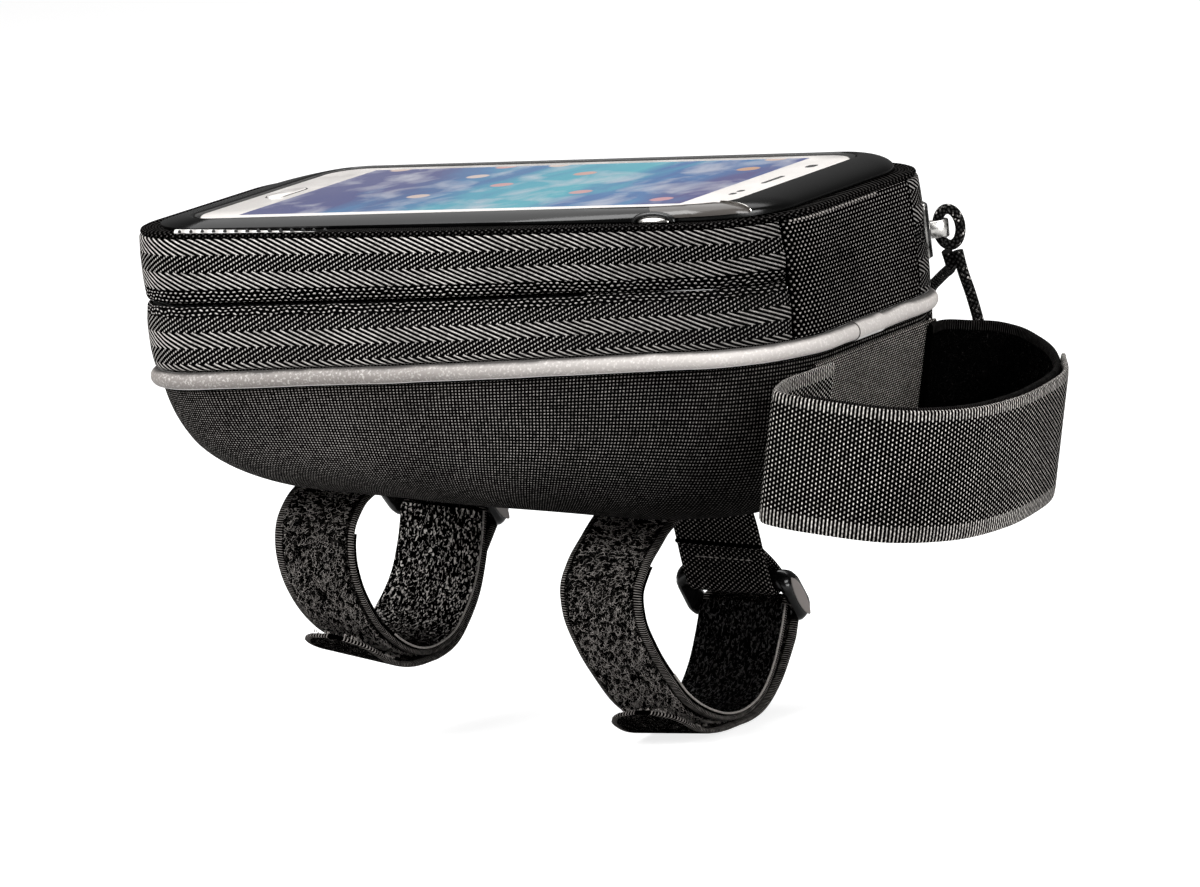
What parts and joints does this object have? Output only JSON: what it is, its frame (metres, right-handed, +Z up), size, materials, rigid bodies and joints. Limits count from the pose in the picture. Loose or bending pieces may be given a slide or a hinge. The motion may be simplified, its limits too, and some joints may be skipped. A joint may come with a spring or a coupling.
{
  "type": "top tube phone bag",
  "caption": "Moulded bicycle top tube bag with a zipped window lid over a phone, rim piping, ringed tube straps and a stem strap.",
  "frame": {"origin": "middle of the flat bottom of the shell, where the bag sits on the top tube", "axes": "+X towards the front of the bicycle, where the stem strap is; +Y to the rider's left; +Z up, square to the level rim"},
  "size_m": [0.2388, 0.125, 0.1419],
  "materials": {
    "shell_cloth": "laminated polyester, fine weave",
    "tape_cloth": "herringbone zip tape",
    "gusset_cloth": "coarse plain weave",
    "webbing": "ribbed hook webbing",
    "loop_pile": "brushed loop pile",
    "grip_rubber": "crinkled, glossy",
    "reflective_piping": "reflective, fine sparkle",
    "moulded_frame": "satin moulded",
    "black_acetal": "gloss moulded",
    "clear_film": "clear touch film",
    "bright_zinc": "bright plated",
    "phone_white": "gloss white",
    "phone_display": null,
    "cord_braid": "braided, light flecks"
  },
  "bodies": {
    "base": {"base_shell": "shell_cloth", "rim_piping": "reflective_piping", "lower_zip_tape": "tape_cloth", "lower_zip_coil": "black_acetal", "free_tape_end": "tape_cloth", "free_coil_end": "black_acetal", "zip_stop_far": "bright_zinc", "zip_stop_near": "bright_zinc", "front_gusset": "gusset_cloth", "gusset_binding_near": "tape_cloth", "gusset_binding_far": "tape_cloth", "stem_strap_patch": "webbing", "stem_strap_hook": "webbing", "stem_strap_pile": "loop_pile", "rear_tube_strap": "loop_pile", "rear_strap_grip": "grip_rubber", "rear_ring_hanger": "webbing", "rear_ring": "black_acetal", "front_tube_strap": "loop_pile", "front_strap_grip": "grip_rubber", "front_ring_hanger": "webbing", "front_ring": "black_acetal"},
    "lid": {"lid_border": "shell_cloth", "lid_frame": "moulded_frame", "window_film": "clear_film", "upper_zip_tape": "tape_cloth", "upper_zip_coil": "black_acetal", "phone_sleeve": "shell_cloth", "phone_body": "phone_white", "phone_display": "phone_display", "phone_home_key": "phone_white", "cable_port": "black_acetal", "cable_port_plug": "bright_zinc"},
    "slider": {"zip_slider": "black_acetal", "slider_bridge": "bright_zinc", "cord_hitch": "cord_braid", "pull_cord_front": "cord_braid", "pull_cord_rear": "cord_braid", "cord_knot": "cord_braid"}
  },
  "joints": [
    {"name": "lid_hinge", "type": "hinge", "parent": "base", "child": "lid", "pos_m": [0.09475, 0, 0.06904], "axis": [0, 1, 0], "range_deg": [0, 100]},
    {"name": "slider_travel", "type": "hinge", "parent": "base", "child": "slider", "pos_m": [0.07025, 0.0245, 0.0545], "axis": [0, 0, 1], "range_deg": [0, 50]}
  ]
}
